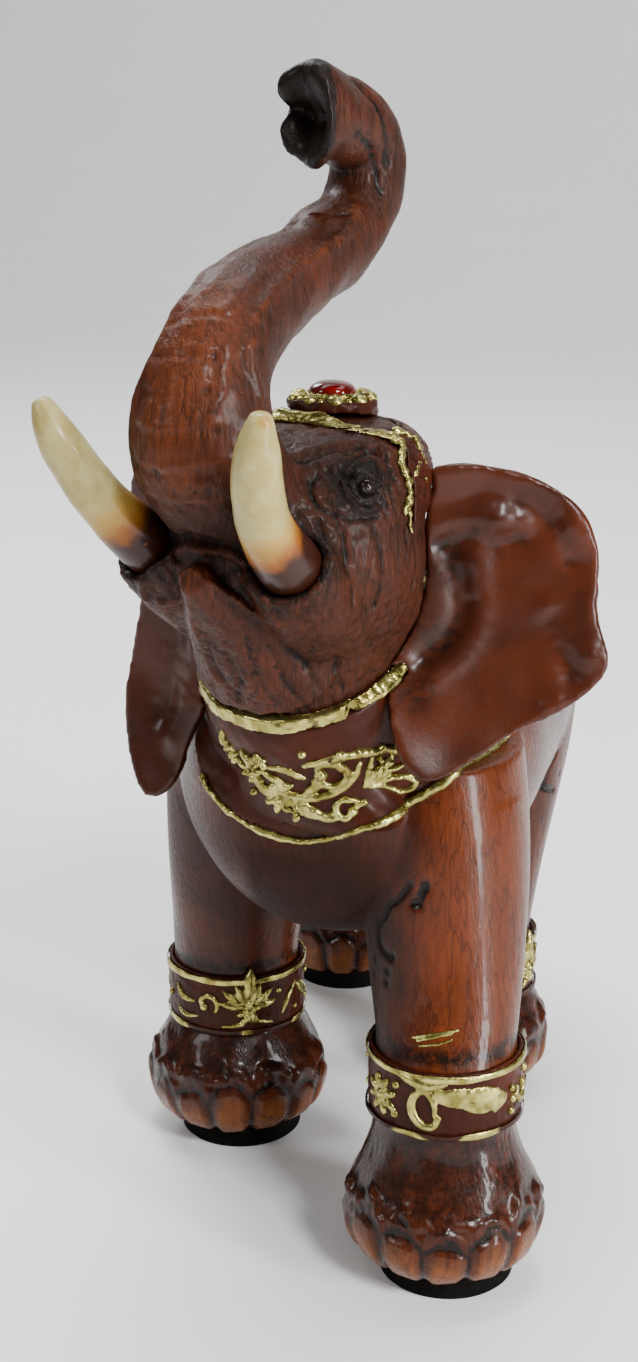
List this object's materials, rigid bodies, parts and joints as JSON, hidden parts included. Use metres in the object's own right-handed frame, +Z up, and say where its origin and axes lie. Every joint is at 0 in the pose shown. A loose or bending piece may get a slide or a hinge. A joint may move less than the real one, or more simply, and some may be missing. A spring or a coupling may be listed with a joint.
{
  "type": "elephant figurine",
  "caption": "Standing carved elephant figurine with raised trunk, tusks, spread ears, head-dress, collar and anklets, on round foot pads.",
  "frame": {"origin": "centre of the bounding box, on the surface that the foot pads stand on", "axes": "+Z up, the elephant walks towards -Y, its own left side is +X"},
  "size_m": [0.1214, 0.2394, 0.2681],
  "materials": {
    "carved_wood": "carved grain under reddish brown gloss varnish",
    "smooth_wood": "smooth sanded, reddish brown satin varnish",
    "painted_wood": "dark brown stain under varnish",
    "dowel_wood": "plain unvarnished beech",
    "ivory_resin": "ivory coloured, amber stained at the root",
    "dark_glass": "black glossy bead",
    "red_glass": "polished red cabochon",
    "gilt": "gold leaf paint, worn on the high spots",
    "black_pad": "matt black"
  },
  "bodies": {
    "root": {"anklet_front_left": "painted_wood", "anklet_front_left_ornament": "gilt", "anklet_front_left_rims": "gilt", "anklet_front_right": "painted_wood", "anklet_front_right_ornament": "gilt", "anklet_front_right_rims": "gilt", "anklet_rear_left": "painted_wood", "anklet_rear_left_ornament": "gilt", "anklet_rear_left_rims": "gilt", "anklet_rear_right": "painted_wood", "anklet_rear_right_ornament": "gilt", "anklet_rear_right_rims": "gilt", "chest_flowers": "gilt", "chest_panel": "painted_wood", "chest_scrolls": "gilt", "collar_lower_band": "gilt", "collar_upper_band": "gilt", "crown_bezel": "gilt", "crown_boss": "painted_wood", "crown_jewel": "red_glass", "crown_petals": "gilt", "ear_left": "smooth_wood", "ear_pegs": "dowel_wood", "ear_right": "smooth_wood", "eye_left": "dark_glass", "eye_right": "dark_glass", "foot_pad_front_left": "black_pad", "foot_pad_front_right": "black_pad", "foot_pad_rear_left": "black_pad", "foot_pad_rear_right": "black_pad", "head": "carved_wood", "head_cloth": "painted_wood", "head_cloth_trim": "gilt", "leg_dowels": "dowel_wood", "leg_front_left": "carved_wood", "leg_front_right": "carved_wood", "leg_rear_left": "carved_wood", "leg_rear_right": "carved_wood", "neck_dowels": "dowel_wood", "tail": "carved_wood", "torso": "carved_wood", "trunk": "carved_wood", "trunk_dowel": "dowel_wood", "tusk_left": "ivory_resin", "tusk_right": "ivory_resin"}
  },
  "joints": []
}
